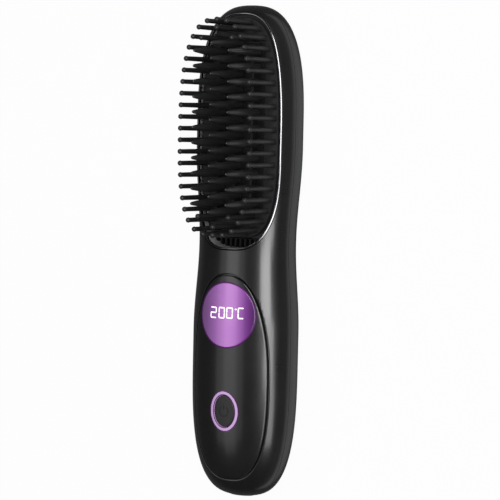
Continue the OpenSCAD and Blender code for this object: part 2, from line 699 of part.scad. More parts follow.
// Control board on the cradle, with its power transistors, microcontroller and connectors
module control_board() color("#1f5a34") difference() {
    union() {
        block([board_w, board_l, board_t], board_y, cradle_top_z);
        for (x = [-8, 8]) translate([x, 0, 0]) block([5, 6.4, 1.4], board_y - 7.2, board_top_z);
        block([7, 7, 1], board_y + 2.8, board_top_z);
        for (x = [-9.5, 9.5]) translate([x, 0, 0]) block([3, 5, 1.2], board_y + 5.5, board_top_z);
    }
    at(control_posts) post(screw_d / 2 + slip, cradle_top_z - 1, board_top_z + 1);
}

module battery_cells() color("#3d7a4e") cells(0);

// Cradle over the cells: end walls, a web between the cells, and the seat for the control board
module battery_cradle() color("#2c2c30") difference() {
    union() {
        block([board_w - 1, cell_l + 2 * cradle_end, cradle_t], cell_y, cradle_top_z - cradle_t);
        block([cradle_web, cell_l, cradle_top_z - cradle_low_z], cell_y, cradle_low_z);
        intersection() {
            body_solid(wall + 0.3);
            for (s = [-1, 1]) block([board_w + 8, cradle_wall, cradle_top_z - 4],
                cell_y + s * (cell_l / 2 + tab_room + cradle_wall / 2), 4);
        }
    }
    cells(cradle_gap);
    at(control_posts) post(screw_d / 2 + 0.05, cradle_top_z - board_screw_l, cradle_top_z + 1);
    for (x = [-1, 1]) translate([x * cell_wire_x, 0, 0])
        block([lead_notch, 2 * cradle_end, tab_h], cell_low_y - cradle_end, cell_z - tab_h / 2);
}

// Nickel strips that join the cells at both ends
module battery_tabs() color("#c4c6c9") {
    for (s = [-1, 1]) translate([0, cell_y + s * (cell_l + tab_t) / 2, 0])
        block([cell_pitch + tab_h, tab_t, tab_h], 0, cell_z - tab_h / 2);
}

module charge_board() color("#1f5a34") difference() {
    union() {
        block(charge_size, charge_y, charge_z);
        block([charge_tongue[0], charge_tongue[1] + 1, charge_size[2]],
            charge_y - charge_size[1] / 2 - charge_tongue[1] / 2 + 0.5, charge_z);
        for (x = [-1, 1]) translate([x * 2.5, 0, 0]) block([3, 3, 1.1], charge_y + 0.6, charge_top_z);
    }
    at(charge_posts) post(screw_d / 2 + slip, charge_z - 1, charge_top_z + 1);
}

// Metal shell of the charging socket with its contact tongue
module usb_socket() color("#b9bcc2") {
    difference() {
        socket_tunnel(0, socket_front_y, socket_front_y + socket_l);
        socket_tunnel(-socket_t, socket_front_y - 1, socket_front_y + socket_l - 0.8);
    }
    block(tongue_size, socket_front_y + socket_l - 0.4 - tongue_size[1] / 2, mid_z - tongue_size[2] / 2);
}

module battery_leads() color("#a01818") {
    pair_of_wires(cell_wire);
    pair_of_wires(link_wire);
}

module heater_leads() color("#c8c2b4") pair_of_wires(heater_wire);

module housing_screws() color("#9a9ca1") {
    at(head_screws) translate([0, 0, shelf_z - screw_head_h]) screw(shelf_z - screw_head_h - boss_z + thread_l);
    at(handle_screws) translate([0, 0, handle_head_z]) screw(handle_head_z - boss_z + thread_l);
}

module carrier_screws() color("#9a9ca1") {
    at(carrier_posts) translate([0, 0, tray_z]) mirror([0, 0, 1]) screw(carrier_low_z - tray_z);
}

module board_screws() color("#9a9ca1") {
    at(control_posts) translate([0, 0, board_top_z]) screw(board_screw_l);
    at(charge_posts) translate([0, 0, charge_top_z]) screw(board_screw_l);
}

rear_shell();
front_shell();
handle_cover();
head_rim_trim();
bristle_carrier();
ion_grille();
heating_comb();
ceramic_heater();
heater_spring();
mica_sheet();
heater_tray();
thermistor();
thermal_fuse();
ion_generator();
ion_needles();
display_window();
display_module();
power_button();
button_light_ring();
tact_switch();
switch_plunger();
ring_leds();
control_board();
battery_cells();
battery_cradle();
battery_tabs();
charge_board();
usb_socket();
battery_leads();
heater_leads();
housing_screws();
carrier_screws();
board_screws();
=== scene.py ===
import math

import bpy
from mathutils import Matrix, Vector


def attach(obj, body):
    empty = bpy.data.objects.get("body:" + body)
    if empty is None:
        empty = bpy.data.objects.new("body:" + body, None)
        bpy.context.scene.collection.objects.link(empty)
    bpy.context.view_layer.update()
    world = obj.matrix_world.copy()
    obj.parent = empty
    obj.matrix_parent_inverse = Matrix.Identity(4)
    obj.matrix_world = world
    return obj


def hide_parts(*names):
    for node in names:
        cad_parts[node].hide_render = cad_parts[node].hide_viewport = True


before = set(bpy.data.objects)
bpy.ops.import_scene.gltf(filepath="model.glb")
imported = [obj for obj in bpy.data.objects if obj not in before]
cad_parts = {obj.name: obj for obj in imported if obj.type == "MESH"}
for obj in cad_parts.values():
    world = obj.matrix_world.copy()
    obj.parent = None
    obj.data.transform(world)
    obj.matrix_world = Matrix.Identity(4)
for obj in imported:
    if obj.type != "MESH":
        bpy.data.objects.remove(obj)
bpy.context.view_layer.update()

# Camera and studio. The brush lies on its back on a white table; the camera looks down on it from the
# right-hand side, with the head of the brush at the top of the picture. Reflections see the table dimmed,
# most of all on the left, the way black cards beside the brush keep its edges dark.
mm = 0.001
head_w, neck_w, handle_w = 50.2 * mm, 45.8 * mm, 49.9 * mm
depth_ratio, back_flat = 0.64, 0.4 * mm
mid_z = head_w / 2 * depth_ratio - back_flat

view_yaw, view_roll = math.radians(33.54), math.radians(1.223)
view_distance, view_up, aim_up, aim_side = 928.09 * mm, 58.8 * mm, 0.652 * mm, 1.155 * mm
camera_spot = Vector((math.sin(view_yaw) * view_distance, view_up,
                      mid_z + math.cos(view_yaw) * view_distance))
aim = Vector((aim_side * math.cos(view_yaw), aim_up, mid_z - aim_side * math.sin(view_yaw)))
look = (aim - camera_spot).normalized()
right = look.cross(Vector((0, 1, 0))).normalized()
up = right.cross(look)
turned_right = right * math.cos(view_roll) + up * math.sin(view_roll)
turned_up = up * math.cos(view_roll) - right * math.sin(view_roll)
bpy.ops.object.select_all(action="DESELECT")
bpy.ops.object.camera_add()
camera = bpy.context.object
camera.name = "camera"
turned = Matrix((turned_right, turned_up, -look)).transposed().to_4x4()
camera.matrix_world = Matrix.Translation(camera_spot) @ turned
camera.data.lens = 156.1
camera.data.sensor_width = 36
camera.data.clip_start, camera.data.clip_end = 0.05, 50
bpy.context.scene.camera = camera
bpy.context.scene.view_settings.view_transform = "Standard"


def softbox(name, angle, reach, size, watts, distance=1.5):
    """A softbox over the brush, leaning to the right by an angle, with its middle a reach along the brush."""
    spot = Vector((math.sin(angle) * distance, reach, math.cos(angle) * distance))
    bpy.ops.object.light_add(type="AREA", location=spot)
    lamp = bpy.context.object
    lamp.name = name
    lamp.data.shape = "RECTANGLE"
    lamp.data.size, lamp.data.size_y = size
    lamp.data.energy = watts
    lamp.rotation_euler = (0, angle, 0)


softbox("strip_right", math.radians(32.5), 0.53, (0.59, 1.24), 14.5)
softbox("strip_right_mid", math.radians(40), -0.17, (0.6, 0.16), 1.6)
softbox("strip_right_low", math.radians(46.5), -0.5, (0.55, 0.5), 2.6)
softbox("broad_left", math.radians(-26), 0.35, (1.1, 1.9), 2.6)
softbox("core_left", math.radians(-25), 0.58, (0.46, 1.4), 1.7, 1.4)
softbox("core_left_low", math.radians(-25), -0.4, (0.46, 0.56), 0.33, 1.4)

world = bpy.data.worlds.new("studio")
bpy.context.scene.world = world
world.use_nodes = True
nodes, links = world.node_tree.nodes, world.node_tree.links
nodes.clear()
direction = nodes.new("ShaderNodeTexCoord")
split = nodes.new("ShaderNodeSeparateXYZ")
horizon = nodes.new("ShaderNodeMapRange")
horizon.interpolation_type = "SMOOTHSTEP"
horizon.inputs["From Min"].default_value = 0.05
horizon.inputs["From Max"].default_value = 0.4
horizon.inputs["To Min"].default_value = 1
horizon.inputs["To Max"].default_value = 0
towards_right = nodes.new("ShaderNodeMapRange")
towards_right.inputs["From Min"].default_value = 0
towards_right.inputs["From Max"].default_value = 0.7
towards_right.inputs["To Min"].default_value = 0
towards_right.inputs["To Max"].default_value = 0.1
glow = nodes.new("ShaderNodeMath")
glow.operation = "MULTIPLY_ADD"
glow.inputs[2].default_value = 0.05
sky = nodes.new("ShaderNodeBackground")
world_out = nodes.new("ShaderNodeOutputWorld")
links.new(direction.outputs["Generated"], split.inputs[0])
links.new(split.outputs["Z"], horizon.inputs["Value"])
links.new(split.outputs["X"], towards_right.inputs["Value"])
links.new(horizon.outputs["Result"], glow.inputs[0])
links.new(towards_right.outputs["Result"], glow.inputs[1])
links.new(glow.outputs[0], sky.inputs["Strength"])
links.new(sky.outputs[0], world_out.inputs["Surface"])

bpy.ops.mesh.primitive_plane_add(size=12)
floor = bpy.context.object
floor.name = "floor"
paper = bpy.data.materials.new("white_table")
paper.use_nodes = True
nodes, links = paper.node_tree.nodes, paper.node_tree.links
nodes.clear()
path = nodes.new("ShaderNodeLightPath")
seen = nodes.new("ShaderNodeMath")
seen.operation = "ADD"
seen_at_all = nodes.new("ShaderNodeMath")
seen_at_all.operation = "ADD"
seen_at_all.use_clamp = True
share = nodes.new("ShaderNodeMath")
share.operation = "MULTIPLY"
share.inputs[1].default_value = 0.96
place = nodes.new("ShaderNodeTexCoord")
split = nodes.new("ShaderNodeSeparateXYZ")
across_table = nodes.new("ShaderNodeMapRange")
across_table.inputs["From Min"].default_value, across_table.inputs["From Max"].default_value = 0, 0.2
# Where each card lies to the right of the brush, as a share of 0.2 m, and how much white it leaves
card_levels = ((0.11, 0.05), (0.17, 0.42), (0.3, 0.58), (0.45, 0.33), (0.75, 0.08))
cards = nodes.new("ShaderNodeValToRGB")
for position, level in card_levels:
    card = cards.color_ramp.elements.new(position)
    card.color = (level, level, level, 1)
cards.color_ramp.elements.remove(cards.color_ramp.elements[0])
cards.color_ramp.elements.remove(cards.color_ramp.elements[-1])
dimmed = nodes.new("ShaderNodeMath")
dimmed.operation = "SUBTRACT"
dimmed.inputs[1].default_value = 1
strength = nodes.new("ShaderNodeMath")
strength.operation = "MULTIPLY_ADD"
strength.inputs[2].default_value = 1
matt = nodes.new("ShaderNodeBsdfDiffuse")
matt.inputs["Color"].default_value = (0.9, 0.9, 0.9, 1)
glow = nodes.new("ShaderNodeEmission")
mix = nodes.new("ShaderNodeMixShader")
paper_out = nodes.new("ShaderNodeOutputMaterial")
links.new(path.outputs["Is Camera Ray"], seen.inputs[0])
links.new(path.outputs["Is Glossy Ray"], seen.inputs[1])
links.new(seen.outputs[0], seen_at_all.inputs[0])
links.new(path.outputs["Is Transmission Ray"], seen_at_all.inputs[1])
links.new(seen_at_all.outputs[0], share.inputs[0])
links.new(place.outputs["Object"], split.inputs[0])
links.new(split.outputs["X"], across_table.inputs["Value"])
links.new(across_table.outputs["Result"], cards.inputs["Fac"])
links.new(cards.outputs["Color"], dimmed.inputs[0])
links.new(path.outputs["Is Glossy Ray"], strength.inputs[0])
links.new(dimmed.outputs[0], strength.inputs[1])
links.new(strength.outputs[0], glow.inputs["Strength"])
links.new(share.outputs[0], mix.inputs[0])
links.new(matt.outputs[0], mix.inputs[1])
links.new(glow.outputs[0], mix.inputs[2])
links.new(mix.outputs[0], paper_out.inputs["Surface"])
floor.data.materials.append(paper)

# Rear shell: the half that lies on the table, moulded in black plastic, with a flat on its back and the
# opening for the charging socket in its foot. It is spun from the outline, squeezed and cut.
end_y = 105 * mm
wall = 2.4 * mm
head_y, shoulder_y, neck_y, hip_y, handle_y = 55 * mm, 45 * mm, 4 * mm, -34 * mm, -45 * mm
head_fullness, handle_fullness = 2.7, 3.1
foot_flat = 5.67 * mm
parting_z, joint_gap = mid_z + 2.5 * mm, 0.16 * mm
far = 100 * mm


def ease(t):
    return (1 - math.cos(math.pi * max(0, min(1, t)))) / 2


def dome(t, fullness):
    return max(0, 1 - t**fullness) ** (1 / fullness)


def half_width(y):
    """Half the width of the body at a place along it."""
    if y > head_y:
        return head_w / 2 * dome(min(1, (y - head_y) / (end_y - head_y)), head_fullness)
    if y > neck_y:
        return (neck_w + (head_w - neck_w) * ease((y - neck_y) / (shoulder_y - neck_y))) / 2
    if y > handle_y:
        return (neck_w + (handle_w - neck_w) * ease((neck_y - y) / (neck_y - hip_y))) / 2
    return handle_w / 2 * dome(min(1, (handle_y - y) / (end_y + handle_y)), handle_fullness)


def skin_height(x, y):
    """Height of the body's front surface over a point of the table."""
    return mid_z + depth_ratio * math.sqrt(max(half_width(y) ** 2 - x * x, 0))


def pick(piece):
    """Makes a piece the active one and the only one selected."""
    bpy.ops.object.select_all(action="DESELECT")
    bpy.context.view_layer.objects.active = piece
    piece.select_set(True)


def edit(piece, mode="VERT"):
    """Opens a piece alone in edit mode, with everything in it selected."""
    if bpy.context.object and bpy.context.object.mode != "OBJECT":
        bpy.ops.object.mode_set(mode="OBJECT")
    pick(piece)
    bpy.ops.object.mode_set(mode="EDIT")
    bpy.ops.mesh.select_mode(type=mode)
    bpy.ops.mesh.select_all(action="SELECT")


def close_edit():
    bpy.ops.object.mode_set(mode="OBJECT")


def settle(piece):
    """Puts a piece's place and size into its mesh."""
    pick(piece)
    bpy.ops.object.transform_apply(location=True, rotation=True, scale=True)


def spun_body(name, inset):
    """The whole body as a solid of revolution, drawn inwards by an inset and squeezed to its depth."""
    bend_steps, run_steps, turn_steps = 34, 64, 144
    reach = (end_y - inset) / end_y
    flat = max(mm, foot_flat - inset)
    bend = [1 - math.cos(math.pi / 2 * i / bend_steps) for i in range(1, bend_steps + 1)]
    low = [-end_y + (handle_y + end_y) * b for b in bend]
    between = [handle_y + (head_y - handle_y) * i / run_steps for i in range(1, run_steps)]
    high = [end_y - (end_y - head_y) * b for b in reversed(bend)]
    line = [(half_width(y) - inset, y * reach) for y in low + between + high]
    line = [p for p in line if p[0] > flat * 0.6 or p[1] > 0]
    line = [(0, -end_y * reach), (flat, -end_y * reach)] + line
    line = [p for p in line if p[0] > 0.3 * mm or p == line[0]] + [(0, end_y * reach)]
    while line[2][0] < flat:
        line.pop(2)
    bpy.ops.mesh.primitive_plane_add(size=mm)
    body = bpy.context.object
    body.name = name
    edit(body)
    bpy.ops.mesh.merge(type="CENTER")
    bpy.ops.transform.translate(value=(line[0][0], line[0][1], 0))
    for start, end in zip(line, line[1:]):
        bpy.ops.mesh.extrude_region_move(
            TRANSFORM_OT_translate={"value": (end[0] - start[0], end[1] - start[1], 0)})
    bpy.ops.mesh.select_all(action="SELECT")
    bpy.ops.mesh.spin(steps=turn_steps, angle=2 * math.pi, center=(0, 0, 0), axis=(0, 1, 0))
    bpy.ops.mesh.select_all(action="SELECT")
    bpy.ops.mesh.remove_doubles(threshold=0.002 * mm)
    bpy.ops.mesh.normals_make_consistent(inside=False)
    squeeze = (head_w / 2 * depth_ratio - inset) / (head_w / 2 - inset)
    bpy.ops.transform.resize(value=(1, 1, squeeze), center_override=(0, 0, 0))
    bpy.ops.transform.translate(value=(0, 0, mid_z))
    close_edit()
    return body


def cut(piece, cutter, operation="DIFFERENCE"):
    """Takes a cutter out of a piece, or keeps what they share, and clears the cutter away."""
    tool = piece.modifiers.new(cutter.name, "BOOLEAN")
    tool.object, tool.operation, tool.solver = cutter, operation, "EXACT"
    pick(piece)
    bpy.ops.object.modifier_apply(modifier=tool.name)
    bpy.data.objects.remove(cutter)


def slab(name, low, high):
    """A cutting block between two corners."""
    bpy.ops.mesh.primitive_cube_add(size=1, location=[(a + b) / 2 for a, b in zip(low, high)],
                                    scale=[b - a for a, b in zip(low, high)])
    block = bpy.context.object
    block.name = name
    settle(block)
    return block


def layer(name, low_z, high_z, low_y=-2 * far):
    """A cutting block wider and longer than the body, between two heights."""
    return slab(name, (-far, low_y, low_z), (far, 2 * far, high_z))


def post(name, x, y, radius, low, high, sides=32):
    """An upright round post, or the cutter for a round hole."""
    bpy.ops.mesh.primitive_cylinder_add(vertices=sides, radius=radius, depth=high - low,
                                        location=(x, y, (low + high) / 2))
    pin = bpy.context.object
    pin.name = name
    settle(pin)
    return pin


def round_edges(piece, axis, radius, segments=4):
    """Rounds the edges of a block that run along one axis."""
    edit(piece, "EDGE")
    bpy.ops.mesh.select_all(action="DESELECT")
    close_edit()
    others = [i for i in range(3) if i != axis]
    for side in piece.data.edges:
        start, end = [piece.data.vertices[v].co for v in side.vertices]
        straight = all(abs(start[i] - end[i]) < 0.01 * mm for i in others)
        side.select = straight and abs(start[axis] - end[axis]) > 0.5 * mm
    bpy.ops.object.mode_set(mode="EDIT")
    bpy.ops.mesh.bevel(offset=radius, segments=segments)
    close_edit()


def quarter_round(radius, steps):
    """A rounded edge from its top to its flank: how far back from the flank and how far down each step is."""
    turns = [math.pi / 2 * i / (steps - 1) for i in range(steps)]
    return [(radius * (1 - math.sin(a)), radius * (1 - math.cos(a))) for a in turns]


def smooth(piece, degrees=30):
    """Smooth shading with its sharp edges kept."""
    pick(piece)
    bpy.ops.object.shade_smooth_by_angle(angle=math.radians(degrees))


def moulded(name, colour, roughness, grain=1400, depth=0.004, spread=0.05, coat=0.0, coat_roughness=0.1,
            metal=0.0, ior=1.5, streak=(1, 1, 1)):
    """A moulded, plated or coated finish: cloudy gloss, fine grain and a slightly uneven colour."""
    finish = bpy.data.materials.new(name)
    finish.use_nodes = True
    nodes, links = finish.node_tree.nodes, finish.node_tree.links
    shader = nodes["Principled BSDF"]
    shader.inputs["Metallic"].default_value = metal
    shader.inputs["IOR"].default_value = ior
    shader.inputs["Coat Weight"].default_value = coat
    shader.inputs["Coat Roughness"].default_value = coat_roughness
    place = nodes.new("ShaderNodeTexCoord")
    turn = nodes.new("ShaderNodeMapping")
    turn.inputs["Scale"].default_value = streak
    cloud = nodes.new("ShaderNodeTexNoise")
    cloud.inputs["Scale"].default_value = grain / 14
    cloud.inputs["Detail"].default_value = 4
    gloss = nodes.new("ShaderNodeMapRange")
    gloss.inputs["From Min"].default_value, gloss.inputs["From Max"].default_value = 0.3, 0.7
    gloss.inputs["To Min"].default_value = max(0.02, roughness - spread)
    gloss.inputs["To Max"].default_value = roughness + spread
    shade = nodes.new("ShaderNodeMix")
    shade.data_type = "RGBA"
    shade.inputs["A"].default_value = [c * 0.86 for c in colour] + [1]
    shade.inputs["B"].default_value = [min(1, c * 1.14) for c in colour] + [1]
    pits = nodes.new("ShaderNodeTexNoise")
    pits.inputs["Scale"].default_value = grain
    pits.inputs["Detail"].default_value = 2
    bump = nodes.new("ShaderNodeBump")
    bump.inputs["Strength"].default_value = 0.35
    bump.inputs["Distance"].default_value = depth * mm
    links.new(place.outputs["Object"], turn.inputs["Vector"])
    links.new(turn.outputs[0], cloud.inputs["Vector"])
    links.new(turn.outputs[0], pits.inputs["Vector"])
    links.new(cloud.outputs["Fac"], gloss.inputs["Value"])
    links.new(gloss.outputs["Result"], shader.inputs["Roughness"])
    links.new(cloud.outputs["Fac"], shade.inputs["Factor"])
    links.new(shade.outputs["Result"], shader.inputs["Base Color"])
    links.new(pits.outputs["Fac"], bump.inputs["Height"])
    links.new(bump.outputs[0], shader.inputs["Normal"])
    return finish


def dress(piece, finish, body="brush", replaced=()):
    """Gives a finished piece its material and the body it moves with."""
    piece.data.materials.clear()
    piece.data.materials.append(finish)
    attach(piece, body)
    if replaced:
        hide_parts(*replaced)


def stamp(pattern, name, x, y, finish, node):
    """A copy of a pattern at a place of its own, dressed as a piece of a node."""
    copy = pattern.copy()
    copy.data = pattern.data.copy()
    copy.name = name
    bpy.context.scene.collection.objects.link(copy)
    copy.location = (x, y, 0)
    settle(copy)
    dress(copy, finish, replaced=[node])


shell_black = moulded("shell_black", (0.0095, 0.0095, 0.0105), 0.3, grain=900, depth=0.002, spread=0.03,
                      coat=1.0, coat_roughness=0.16)

boss_r, boss_z = 2.7 * mm, mid_z - 4 * mm
head_screws = [(x * 18.1 * mm, 46.5 * mm) for x in (-1, 1)]
handle_screws = [(x * 13.7 * mm, -81.6 * mm) for x in (-1, 1)]
shell_screws = head_screws + handle_screws
rear = spun_body("rear_half", 0)
rear_hollow = spun_body("rear_hollow", wall)
for i, (x, y) in enumerate(shell_screws):
    cut(rear_hollow, post(f"rear_boss_{i}", x, y, boss_r, 0, boss_z))
cut(rear, rear_hollow)
cut(rear, layer("above_joint", parting_z - joint_gap / 2, far))
cut(rear, layer("under_table", -far, 0))
socket_w, socket_h, socket_fit, tunnel_l = 8.94 * mm, 3.26 * mm, 0.3 * mm, 4.4 * mm
tunnel_w, tunnel_h = socket_w / 2 + socket_fit, socket_h / 2 + socket_fit
tunnel = slab("socket_tunnel", (-tunnel_w, -end_y - mm, mid_z - tunnel_h),
              (tunnel_w, -end_y + tunnel_l, mid_z + tunnel_h))
round_edges(tunnel, 1, tunnel_h * 0.98, 8)
cut(rear, tunnel)
smooth(rear)
dress(rear, shell_black, replaced=["rear_shell"])

# Front shell: the upper half of the moulding, screwed to the rear one through four bosses. It is cut open
# over a shelf for the bristle pocket, and recessed with rounded shoulders for the handle cover.
pocket_w, pocket_l = 43.6 * mm, 101 * mm
pocket_y, shelf_z = 51.5 * mm, mid_z + 3.4 * mm
pocket_fullness = (2.7, 3.1)
cover_w, cover_l, cover_y = 38.4 * mm, 88.2 * mm, -53.1 * mm
cover_fullness = (2.3, 2.65)
ellipse, oval_points = (2, 2), 200


def oval_point(half_x, half_y, fullness, turn):
    """A point on an oval whose lower half is fuller than its upper half."""
    power = 2 / fullness[0 if math.sin(turn) > 0 else 1]
    x, y = math.cos(turn), math.sin(turn)
    return half_x * math.copysign(abs(x) ** power, x), half_y * math.copysign(abs(y) ** power, y)


def loft(name, rings, closed_loop=False):
    """Rings of points joined into a closed solid; in a closed loop the last ring meets the first."""
    bpy.ops.mesh.primitive_circle_add(vertices=len(rings[0]), radius=mm)
    solid = bpy.context.object
    solid.name = name
    count = len(rings[0])
    for spot, place in zip(solid.data.vertices, rings[0]):
        spot.co = place
    for ring in rings[1:]:
        edit(solid, "EDGE")
        bpy.ops.mesh.select_all(action="DESELECT")
        close_edit()
        total = len(solid.data.vertices)
        for rim in solid.data.edges:
            rim.select = min(rim.vertices) >= total - count
        bpy.ops.object.mode_set(mode="EDIT")
        bpy.ops.mesh.extrude_region_move()
        close_edit()
        for spot, place in zip(solid.data.vertices[total:], ring):
            spot.co = place
    total = len(solid.data.vertices)
    edit(solid, "EDGE")
    bpy.ops.mesh.select_all(action="DESELECT")
    close_edit()
    for rim in solid.data.edges:
        low, high = min(rim.vertices), max(rim.vertices)
        rim.select = high < count or low >= total - count
    bpy.ops.object.mode_set(mode="EDIT")
    if closed_loop:
        bpy.ops.mesh.bridge_edge_loops()
    else:
        bpy.ops.mesh.edge_face_add()
    close_edit()
    edit(solid)
    bpy.ops.mesh.normals_make_consistent(inside=False)
    close_edit()
    return solid


def skin_ring(half_x, half_y, fullness, y, inset, depth, shrink=1, count=oval_points):
    """A ring of points on an oval, laid on the body's surface or a depth under it."""
    ring = []
    for i in range(count):
        turn = 2 * math.pi * i / count
        px, py = oval_point((half_x - inset) * shrink, (half_y - inset) * shrink, fullness, turn)
        ring.append((px, y + py, skin_height(px, y + py) - depth))
    return ring


def level_ring(half_x, half_y, fullness, y, inset, z, count=oval_points):
    """A ring of points on an oval at one height."""
    ring = []
    for i in range(count):
        px, py = oval_point(half_x - inset, half_y - inset, fullness, 2 * math.pi * i / count)
        ring.append((px, y + py, z))
    return ring


def cover_ring(inset, depth, shrink=1):
    return skin_ring(cover_w / 2, cover_l / 2, cover_fullness, cover_y, inset, depth, shrink)


def pocket_ring(inset, depth):
    return skin_ring(pocket_w / 2, pocket_l / 2, pocket_fullness, pocket_y, inset, depth)


def pocket_level(inset, z):
    return level_ring(pocket_w / 2, pocket_l / 2, pocket_fullness, pocket_y, inset, z)


def oval_cutter(name, half_x, half_y, fullness, y, count=oval_points):
    """A cutter for an upright oval hole, from the middle of the body to above it."""
    return loft(name, [level_ring(half_x, half_y, fullness, y, 0, z, count) for z in (mid_z, over_top)])


shelf_t, shelf_ledge, board_ledge = 1.6 * mm, 6.3 * mm, 3.5 * mm
bore_r, rear_gap, over_top = 1.05 * mm, 0.3 * mm, mid_z + 30 * mm
front = spun_body("front_half", 0)
hollow = spun_body("front_hollow", wall)
cut(hollow, layer("shelf", shelf_z - shelf_t, shelf_z, -3 * mm))
for i, (x, y) in enumerate(shell_screws):
    cut(hollow, post(f"front_boss_{i}", x, y, boss_r, boss_z, over_top))
cut(front, hollow)
below = layer("below_joint", -far, parting_z + joint_gap / 2)
cut(below, spun_body("inner_parts", wall + rear_gap))
cut(front, below)
cut(front, loft("pocket_cutter", [pocket_level(0, shelf_z), pocket_level(0, over_top)]))
cut(front, loft("shelf_window", [pocket_level(shelf_ledge, shelf_z - 3 * mm),
                                 pocket_level(shelf_ledge, shelf_z + mm)]))
shoulder_r, recess_depth = 0.45 * mm, 1.7 * mm


def shoulder_ring(out, down):
    """A ring of the recess's rounded shoulder, which is broader round the lower end."""
    ring = []
    for i in range(oval_points):
        turn = 2 * math.pi * i / oval_points
        broad = 1 + 1.6 * max(0, -math.sin(turn)) ** 16
        px, py = oval_point(cover_w / 2 + out * broad, cover_l / 2 + out * broad, cover_fullness, turn)
        ring.append((px, cover_y + py, skin_height(px, cover_y + py) - down))
    return ring


recess = [shoulder_ring(1.2 * shoulder_r, -shoulder_r)]
recess += [shoulder_ring(back, down) for back, down in quarter_round(shoulder_r, 6)]
recess.append(cover_ring(0, recess_depth))
recess += [cover_ring(0, recess_depth, shrink) for shrink in (0.9, 0.75, 0.6, 0.45, 0.3, 0.15, 0.05)]
recess = [cover_ring(-1.2 * shoulder_r, -shoulder_r, shrink) for shrink in (0.05, 0.3, 0.6, 0.85)] + recess
cut(front, loft("recess_cutter", recess))
cut(front, oval_cutter("board_window", cover_w / 2 - board_ledge, cover_l / 2 - board_ledge, cover_fullness,
                       cover_y))
for i, (x, y) in enumerate(shell_screws):
    cut(front, post(f"front_bore_{i}", x, y, bore_r, boss_z - mm, over_top, 20))
smooth(front)
dress(front, shell_black, replaced=["front_shell"])

# Handle cover: a glossy oval panel let into the handle, with a round hole for the display window and an
# oval one for the light ring.
cover_gap, cover_t, edge_r = 0.6 * mm, 1.3 * mm, 0.4 * mm
display_y, display_r = -26.4 * mm, 13.65 * mm
button_y = -67.4 * mm
light_w, light_l = 14.3 * mm, 17.5 * mm
cover_black = moulded("cover_black", (0.0105, 0.0105, 0.011), 0.3, grain=900, depth=0.002, spread=0.03,
                      coat=1.0, coat_roughness=0.16)
plies = [cover_ring(cover_gap, 0, s) for s in [0.02] + [i / 26 for i in range(1, 26)]]
plies += [cover_ring(cover_gap + back, down) for back, down in quarter_round(edge_r, 6)]
plies.append(cover_ring(cover_gap, cover_t))
plies += [cover_ring(cover_gap, cover_t, s) for s in (0.95, 0.85, 0.7, 0.55, 0.4, 0.25, 0.1, 0.02)]
cover = loft("cover_panel", plies)
bezel_room, ring_room = 0.45 * mm, 0.1 * mm
hole_points, window_points, button_points = 160, 144, 120
hole_r, hole_w, hole_l = display_r + bezel_room, light_w / 2 + ring_room, light_l / 2 + ring_room
cut(cover, oval_cutter("display_hole", hole_r, hole_r, ellipse, display_y, hole_points))
cut(cover, oval_cutter("button_hole", hole_w, hole_l, ellipse, button_y, button_points))
smooth(cover)
dress(cover, cover_black, replaced=["handle_cover"])

# Rim trim: a thin chromed frame round the pocket. Its polished lip stands a little proud of the shell and
# slopes outwards; its inner wall, left satin, goes down to the shelf.
rim_outer, rim_inner, lip_foot, rim_middle = 0.1, 1.0, -1.3, 0.55
# The lip's section from its outer to its inner foot: inset from the pocket's edge and rise, in millimetres
lip = [(rim_outer, lip_foot), (rim_outer, -0.5), (0.15, -0.33), (0.26, -0.2), (0.38, -0.11), (0.6, 0.03),
       (0.74, 0.08), (0.87, 0.07), (0.96, -0.02), (rim_inner, -0.16), (rim_inner, lip_foot)]


def rim_ring(inset, rise):
    """A ring of the rim: its rise counts from the shell's surface above the middle of the rim."""
    ring = []
    for place, crest in zip(pocket_ring(inset * mm, 0), pocket_ring(rim_middle * mm, 0)):
        ring.append((place[0], place[1], crest[2] + rise * mm))
    return ring


chrome = moulded("rim_trim", (0.27, 0.27, 0.28), 0.13, grain=2400, depth=0.001, spread=0.03, metal=1)
satin_silver = moulded("rim_trim_satin", (0.6, 0.6, 0.61), 0.42, grain=2400, depth=0.003, metal=0.15)
rim_lip = loft("rim_lip", [rim_ring(*step) for step in lip], closed_loop=True)
smooth(rim_lip, 40)
dress(rim_lip, chrome, replaced=["head_rim_trim"])
rim_wall = loft("rim_wall", [pocket_level(rim_outer * mm, shelf_z), rim_ring(rim_outer, lip_foot),
                             rim_ring(rim_inner, lip_foot), pocket_level(rim_inner * mm, shelf_z)],
                closed_loop=True)
smooth(rim_wall)
dress(rim_wall, satin_silver, replaced=["head_rim_trim"])

# Bristle carrier: one black nylon moulding, screwed to the shelf. Its floor has a window for the comb and a
# notch for the ion outlet, and ball-tipped bristles stand round it, all copies of one.
floor_z = mid_z + 7.4 * mm
carrier_low_z = floor_z - 2 * mm
comb_y = 52.9 * mm
field_w, field_l = 24.1 * mm, 71.3 * mm
tongue_w, tongue_l, comb_room = 5.8 * mm, 78.2 * mm, 0.25 * mm
nylon_black = moulded("nylon_black", (0.031, 0.031, 0.033), 0.36, grain=1500, depth=0.004, spread=0.05)


def centred(name, width, length, y, low, high):
    return slab(name, (-width / 2, y - length / 2, low), (width / 2, y + length / 2, high))


def rounded_block(name, width, length, y, low, high, radius, segments=4):
    """A block astride the middle line whose upright edges are rounded."""
    block = centred(name, width, length, y, low, high)
    round_edges(block, 2, radius, segments)
    return block


ring_w, ring_l = 35 * mm, 90 * mm
ring_fullness = (2.62, 3.15)
carrier_in, skirt_t, gutter = 1.2 * mm, 1.6 * mm, 1.4 * mm


def stand_level(margin, z):
    return level_ring(ring_w / 2 + margin, ring_l / 2 + margin, ring_fullness, comb_y, 0, z)


